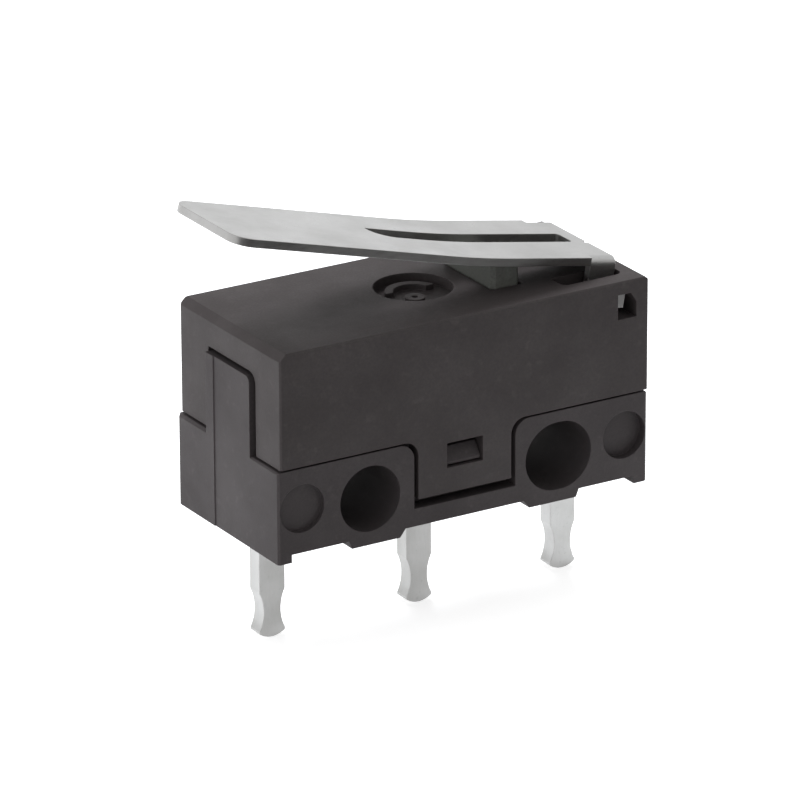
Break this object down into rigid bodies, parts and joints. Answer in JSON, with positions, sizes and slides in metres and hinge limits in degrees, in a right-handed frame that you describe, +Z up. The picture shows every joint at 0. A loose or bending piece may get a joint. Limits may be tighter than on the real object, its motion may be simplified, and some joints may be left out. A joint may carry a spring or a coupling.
{
  "type": "lever micro switch",
  "caption": "Subminiature snap-action switch with a long hinged lever, in-line solder pins and side mounting holes.",
  "frame": {"origin": "middle of the body's length and depth, on the plane of the feet that seat on the circuit board", "axes": "+X along the body towards the lever's hinge, +Y from the marked front to the back, +Z up from the board to the lever"},
  "size_m": [0.0135, 0.0058, 0.0134],
  "materials": {
    "cover_plastic": "fine matte moulded texture",
    "base_plastic": "fine matte moulded texture",
    "plunger_plastic": "smooth satin",
    "lever_steel": "satin cold-rolled sheet, bright sheared edges",
    "terminal_metal": "matte tin plating over brass",
    "spring_copper": "bare rolled spring alloy",
    "contact_silver": "satin silver alloy"
  },
  "bodies": {
    "housing": {"cover": "cover_plastic", "base": "base_plastic", "com_terminal": "terminal_metal", "no_terminal": "terminal_metal", "nc_terminal": "terminal_metal", "no_contact": "contact_silver", "nc_contact": "contact_silver"},
    "lever_arm": {"lever": "lever_steel"},
    "button": {"plunger": "plunger_plastic"},
    "contact_arm": {"contact_spring": "spring_copper", "moving_contact": "contact_silver"}
  },
  "joints": [
    {"name": "lever_hinge", "type": "hinge", "parent": "housing", "child": "lever_arm", "pos_m": [0.0055, 0, 0.00585], "axis": [0, -1, 0], "range_deg": [0, 10.5], "stiffness_Nm_per_rad": 0.02, "springref_deg": -7.45},
    {"name": "plunger_slide", "type": "slide", "parent": "housing", "child": "button", "axis": [0, 0, -1], "range_m": [0, 0.00058], "deforming": ["contact_spring"]},
    {"name": "contact_swing", "type": "hinge", "parent": "housing", "child": "contact_arm", "pos_m": [0.00459, 0, 0.0046], "axis": [0, -1, 0], "range_deg": [0, 2.01]}
  ],
  "couplings": [
    {"joint": "plunger_slide", "follows": "lever_hinge", "m_per_rad": 0.0031523},
    {"joint": "contact_swing", "follows": "lever_hinge", "ratio": 0.19048}
  ]
}
